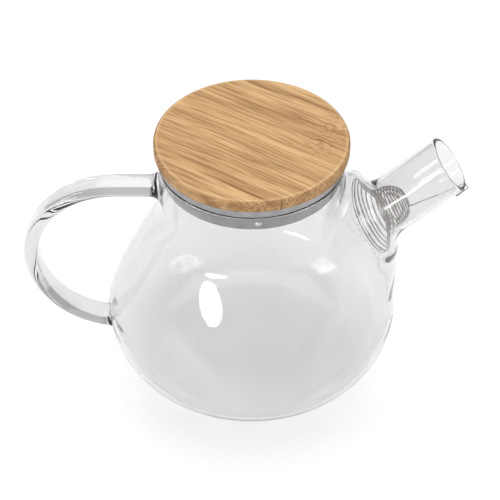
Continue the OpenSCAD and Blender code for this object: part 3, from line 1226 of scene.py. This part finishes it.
@dataclass
class Strainer:
    """The wire coil that rests behind the spout and hooks over its lip.

    Args:
        pot: The glass that it sits in.
        wire_r: Radius of the wire.
        wide_turns: Number of wide turns.
        wide_pitch: Distance between them.
        wide_gap: Room between the widest turn and the glass.
        wide_back: How far the first turn is behind the cone.
        wide_reach: How far past the cone's foot the widest turn is sized.
        wide_shrink: How much the wide turns draw in.
        step: How far along the wire goes while it steps in to the tube.
        tube_turns: Number of open turns where the tube begins.
        tube_pitch: Distance between them.
        tube_gap: Room between them and the tube.
        dome_turns: Number of turns in the dome.
        dome_len: Length of the dome.
        dome_tip_r: Radius of the last turn.
        dome_gap: Room between the dome and the tube.
        stem: Two points of the stem, each a rise past the dome's tip and an angle.
        stem_below: How far below the lip the stem meets the tube.
        hook_turn: Direction of the hook about the tube, in radians.
        hook_leg: Length of the leg outside the lip.
        hook_gap: Room between the wire and the glass.
        hook_play: How much more room there is over the lip.
        bend: Reach of the curve at each corner of the hook.
        steps: Points in each turn.
    """

    pot: GlassPot
    wire_r: float = 0.00034
    wide_turns: int = 4
    wide_pitch: float = 0.0011
    wide_gap: float = 0.0021
    wide_back: float = 0.0025
    wide_reach: float = 0.0006
    wide_shrink: float = 0.0049
    step: float = 0.0014
    tube_turns: int = 2
    tube_pitch: float = 0.0023
    tube_gap: float = 0.00056
    dome_turns: int = 7
    dome_len: float = 0.009
    dome_tip_r: float = 0.004
    dome_gap: float = 0.0013
    stem: tuple = ((0.0005, math.radians(12)), (0.0014, math.radians(20)))
    stem_below: float = 0.0025
    hook_turn: float = math.radians(25)
    hook_leg: float = 0.006
    hook_gap: float = 0.00035
    hook_play: float = 0.0003
    bend: float = 0.0007
    steps: int = 48

    def places(self) -> list[Vector]:
        """Returns where each part of the coil starts, and its tip.

        Each is a distance along the cone's axis and a radius: the first wide turn, the last,
        the first turn in the tube, the foot of the dome and the tip of the dome.
        """
        pot = self.pot
        widest = (pot.cone_len + self.wide_reach) * math.tan(pot.cone_half)
        widest -= pot.wall / math.cos(pot.cone_half) + self.wide_gap
        bore = pot.tube_r - pot.wall - self.wire_r
        first = Vector((-pot.cone_len - self.wide_back, widest))
        last = first + Vector((self.wide_pitch * self.wide_turns, -self.wide_shrink))
        tube = Vector((last.x + self.step, bore - self.tube_gap))
        dome = Vector((tube.x + self.tube_pitch * self.tube_turns, bore - self.dome_gap))
        return [first, last, tube, dome, Vector((dome.x + self.dome_len, self.dome_tip_r))]

    def coil(self) -> list:
        """Returns the points of the coil, from its widest turn to the tip of its dome."""
        first, last, tube, dome, tip = self.places()
        dome_from = self.wide_turns + 1 + self.tube_turns
        points = []
        for k in range(self.steps * (dome_from + self.dome_turns) + 1):
            turn = k / self.steps
            if turn <= self.wide_turns:
                f = turn / self.wide_turns
                at = Vector((first.lerp(last, f).x, first.lerp(last, f * f).y))
            elif turn <= self.wide_turns + 1:
                f = turn - self.wide_turns
                at = last.lerp(tube, f * f * (3 - 2 * f))
            elif turn <= dome_from:
                at = tube.lerp(dome, (turn - self.wide_turns - 1) / self.tube_turns)
            else:
                f = (turn - dome_from) / self.dome_turns
                at = Vector((dome.lerp(tip, f).x, tip.lerp(dome, math.sqrt(max(0, 1 - f * f))).y))
            cone = (self.pot.cone_at, self.pot.cone_rise)
            points.append(around(*cone, at.x, at.y, math.tau * turn))
        return points

    def hook(self) -> list:
        """Returns the corners of the stem and hook."""
        pot, turn = self.pot, self.hook_turn
        mean = pot.tube_r - pot.wall / 2
        lip = pot.tube_len - mean * math.cos(turn) * math.tan(pot.tube_rise - pot.mouth_rise)
        over = self.wire_r + self.hook_gap + self.hook_play
        inner = pot.tube_r - pot.wall - self.wire_r - self.hook_gap
        outer = pot.tube_r + self.wire_r + self.hook_gap
        tip = self.places()[-1]
        rows = [
            (lip - self.stem_below, inner, turn),
            (lip + over, inner, turn),
            (lip + over, outer, turn),
            (lip - self.hook_leg, outer, turn),
        ]
        foot = [(tip.x + up, tip.y, angle) for up, angle in self.stem]
        points = [around(pot.cone_at, pot.cone_rise, *row) for row in foot]
        return points + [around(pot.tube_at, pot.tube_rise, *row) for row in rows]

    def path(self) -> list:
        """Returns the points of the whole wire."""
        points = self.coil()
        corners = self.hook()
        points.append(corners[0])
        for before, corner, after in zip(corners, corners[1:], corners[2:]):
            # Each corner is rounded with a short curve.
            reach = min(self.bend, (corner - before).length / 2.5, (after - corner).length / 2.5)
            first = corner + (before - corner).normalized() * reach
            last = corner + (after - corner).normalized() * reach
            for k in range(7):
                f = k / 6
                points.append(first.lerp(corner, f).lerp(corner.lerp(last, f), f))
        return points + [corners[-1]]

    def dress(self) -> None:
        """Builds the strainer and adds it to the scene."""
        drawn = SteelFinish(
            "strainer_steel", (0.50, 0.48, 0.46), (0.38, 0.36, 0.34), 0.12, False, 2600
        ).build()
        mesh = wire_mesh("spout_coil", self.path(), self.wire_r, 10)
        put(mesh, drawn, Body.STRAINER.value, Slot.WIRE, "spout_strainer")


# ------------------------------------------------------------------ the studio


@dataclass(frozen=True)
class Softbox:
    """A soft lamp.

    Args:
        name: Its name.
        at: Where it stands.
        aim: What it points at.
        size: Its width and height.
        power: Its power in watts.
        round: Whether it is an ellipse.
    """

    name: str
    at: tuple
    aim: tuple
    size: tuple
    power: float
    round: bool = False

    def place(self) -> None:
        """Adds the lamp to the scene."""
        data = bpy.data.lights.new(self.name, "AREA")
        data.shape = "ELLIPSE" if self.round else "RECTANGLE"
        data.size, data.size_y = self.size
        data.energy = self.power
        point_at(add_object(self.name, data), self.at, self.aim)


@dataclass
class Studio:
    """A plain pale floor, soft lamps and the camera.

    Args:
        camera_at: Where the camera stands.
        aim: What it points at.
        lens: Its focal length in millimetres.
        sky: Brightness of the room.
    """

    camera_at: tuple = (-0.0008, -0.5099, 0.5436)
    aim: tuple = (-0.0008, 0.0, 0.0640)
    lens: float = 105.6
    sky: float = 0.60

    def lamps(self) -> list[Softbox]:
        """Returns the lamps of the room."""
        middle = (0.0, 0.0, 0.07)
        return [
            Softbox("top_light", (0.0, 0.25, 1.5), middle, (1.5, 1.3), 9.6),
            Softbox("right_light", (0.85, -0.35, 0.75), middle, (0.36, 0.6), 3.6),
            Softbox("left_light", (-0.85, -0.25, 0.75), middle, (0.32, 0.5), 3.0),
            Softbox("front_light", (-0.72, -0.95, 0.19), middle, (0.5, 0.13), 1.5, True),
        ]

    def build(self) -> None:
        """Adds the floor, the room, the lamps and the camera."""
        bm = bmesh.new()
        bmesh.ops.create_grid(bm, x_segments=2, y_segments=2, size=6.0)
        mesh = to_mesh(bm, "studio_floor")
        mesh.materials.append(PaintFinish().build())
        floor = add_object("studio_floor", mesh)
        # Just under the pot, so that the two faces don't fight for the same place.
        floor.location.z = -0.0003
        world = bpy.data.worlds.new("room")
        world.use_nodes = True
        inputs = world.node_tree.nodes["Background"].inputs
        inputs["Color"].default_value = (1, 1, 1, 1)
        inputs["Strength"].default_value = self.sky
        scene = bpy.context.scene
        scene.world = world
        for lamp in self.lamps():
            lamp.place()
        data = bpy.data.cameras.new("camera")
        data.lens = self.lens
        data.sensor_width = 36
        data.clip_start, data.clip_end = 0.05, 20
        scene.camera = add_object("camera", data)
        point_at(scene.camera, self.camera_at, self.aim)
        scene.view_settings.view_transform = "Standard"
        # Light crosses many surfaces of glass before it leaves the strap and the welds.
        scene.cycles.max_bounces = scene.cycles.transmission_bounces = 32


def main() -> None:
    """Builds the whole scene."""
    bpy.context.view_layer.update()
    pot = GlassPot()
    pot.dress()
    Lid().dress()
    Detents().dress()
    Strainer(pot).dress()
    Studio().build()
    bpy.context.view_layer.update()


if __name__ == "__main__":
    logging.basicConfig(level=logging.INFO, format="%(message)s")
    main()
